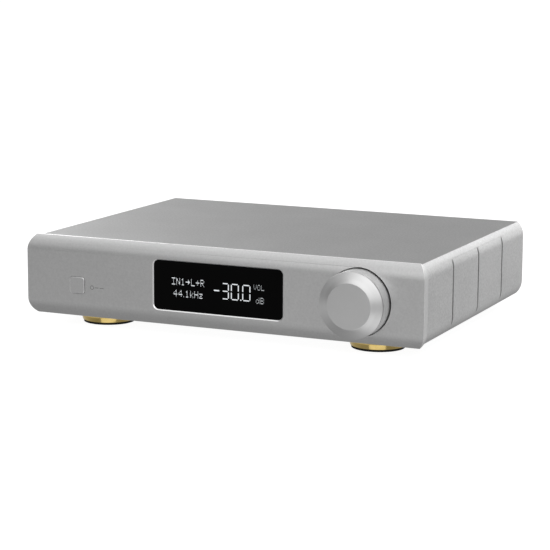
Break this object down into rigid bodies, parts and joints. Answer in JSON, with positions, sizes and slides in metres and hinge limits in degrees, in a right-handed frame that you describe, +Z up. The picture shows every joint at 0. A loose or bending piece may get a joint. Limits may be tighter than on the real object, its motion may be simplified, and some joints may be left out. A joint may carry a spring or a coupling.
{
  "type": "desktop dac",
  "caption": "Shallow silver desktop audio converter with a large volume knob, a black display window, a square button, brass feet and rear audio sockets.",
  "frame": {"origin": "on the table surface under the middle of the whole object, knob and sockets included", "axes": "+Z up, controls face -Y, rear sockets face +Y, +X to the right seen from the front"},
  "size_m": [0.2764, 0.227, 0.0599],
  "materials": {
    "anodised_panel": "fine bead-blasted silver anodising",
    "anodised_body": "fine bead-blasted silver anodising",
    "anodised_plate": "bead-blasted silver anodising",
    "anodised_knob": "turned and anodised silver",
    "anodised_button": "bead-blasted silver anodising",
    "zinc_steel": "zinc-plated sheet steel",
    "screw_steel": "black-oxide steel",
    "window_glass": "polished black glass",
    "display_black": "black display glass",
    "black_plastic": "fine moulded texture",
    "white_plastic": "moulded",
    "circuit_board": "solder mask",
    "brass_post": "turned",
    "nickel_plate": "satin nickel plate",
    "gold_plate": "gold plate",
    "fuse_ceramic": "glazed ceramic tube",
    "winding_tape": "polyester winding tape",
    "capacitor_sleeve": "shrink sleeve",
    "wire_insulation": "soft insulation",
    "brass_foot": "polished and lacquered",
    "rubber_pad": "soft matt rubber"
  },
  "bodies": {
    "root": {"front_panel": "anodised_panel", "upper_housing": "anodised_body", "bottom_plate": "anodised_plate", "rear_panel": "anodised_plate", "front_subframe": "zinc_steel", "front_panel_screws": "screw_steel", "bottom_screws": "screw_steel", "rear_panel_screws": "screw_steel", "display_window": "window_glass", "oled_panel": "display_black", "display_carrier": "black_plastic", "front_board": "circuit_board", "front_standoffs": "brass_post", "encoder_body": "nickel_plate", "encoder_nut": "zinc_steel", "button_switch": "black_plastic", "main_board": "circuit_board", "board_standoffs": "brass_post", "board_screws": "screw_steel", "xlr_out_left": "nickel_plate", "xlr_out_right": "nickel_plate", "xlr_pins_left": "gold_plate", "xlr_pins_right": "gold_plate", "rca_out_left": "gold_plate", "rca_out_right": "gold_plate", "coax_in": "gold_plate", "aes_in": "nickel_plate", "usb_socket": "nickel_plate", "optical_socket": "black_plastic", "trigger_in": "black_plastic", "trigger_out": "black_plastic", "connector_screws": "screw_steel", "power_inlet": "black_plastic", "inlet_pins": "nickel_plate", "power_transformer": "winding_tape", "transformer_bolt": "zinc_steel", "filter_capacitors": "capacitor_sleeve", "dac_shield": "zinc_steel", "front_ribbon": "white_plastic", "power_wires": "wire_insulation", "foot_front_left": "brass_foot", "foot_front_right": "brass_foot", "foot_rear_left": "brass_foot", "foot_rear_right": "brass_foot", "pad_front_left": "rubber_pad", "pad_front_right": "rubber_pad", "pad_rear_left": "rubber_pad", "pad_rear_right": "rubber_pad", "foot_screws": "screw_steel"},
    "knob_plunger": {"encoder_plunger": "black_plastic"},
    "knob": {"volume_knob": "anodised_knob", "knob_collet": "white_plastic", "encoder_shaft": "nickel_plate"},
    "select_button": {"select_button": "anodised_button", "button_switch_plunger": "white_plastic"},
    "rocker": {"power_rocker": "black_plastic"},
    "fuse_drawer": {"fuse_drawer": "black_plastic", "mains_fuse": "fuse_ceramic"},
    "aes_latch": {"aes_latch": "nickel_plate"},
    "shutter": {"optical_shutter": "black_plastic"}
  },
  "joints": [
    {"name": "knob_push", "type": "slide", "parent": "root", "child": "knob_plunger", "axis": [0, 1, 0], "range_m": [0, 0.0005], "stiffness_N_per_m": 4000, "springref_m": -0.0004},
    {"name": "knob_turn", "type": "hinge", "parent": "knob_plunger", "child": "knob", "pos_m": [0.0955, -0.098, 0.0339], "axis": [0, 1, 0], "continuous": true},
    {"name": "button_press", "type": "slide", "parent": "root", "child": "select_button", "axis": [0, 1, 0], "range_m": [0, 0.0005], "stiffness_N_per_m": 2500, "springref_m": -0.0004},
    {"name": "power_switch", "type": "hinge", "parent": "root", "child": "rocker", "pos_m": [-0.0799, 0.101, 0.034], "axis": [-1, 0, 0], "range_deg": [0, 24]},
    {"name": "fuse_drawer_slide", "type": "slide", "parent": "root", "child": "fuse_drawer", "axis": [0, 1, 0], "range_m": [0, 0.018]},
    {"name": "latch_press", "type": "slide", "parent": "root", "child": "aes_latch", "axis": [0, -1, 0], "range_m": [0, 0.0015], "stiffness_N_per_m": 1500, "springref_m": -0.0005},
    {"name": "shutter_swing", "type": "hinge", "parent": "root", "child": "shutter", "pos_m": [-0.024, 0.1032, 0.0375], "axis": [-1, 0, 0], "range_deg": [0, 80], "stiffness_Nm_per_rad": 0.002, "springref_deg": -11.46}
  ]
}
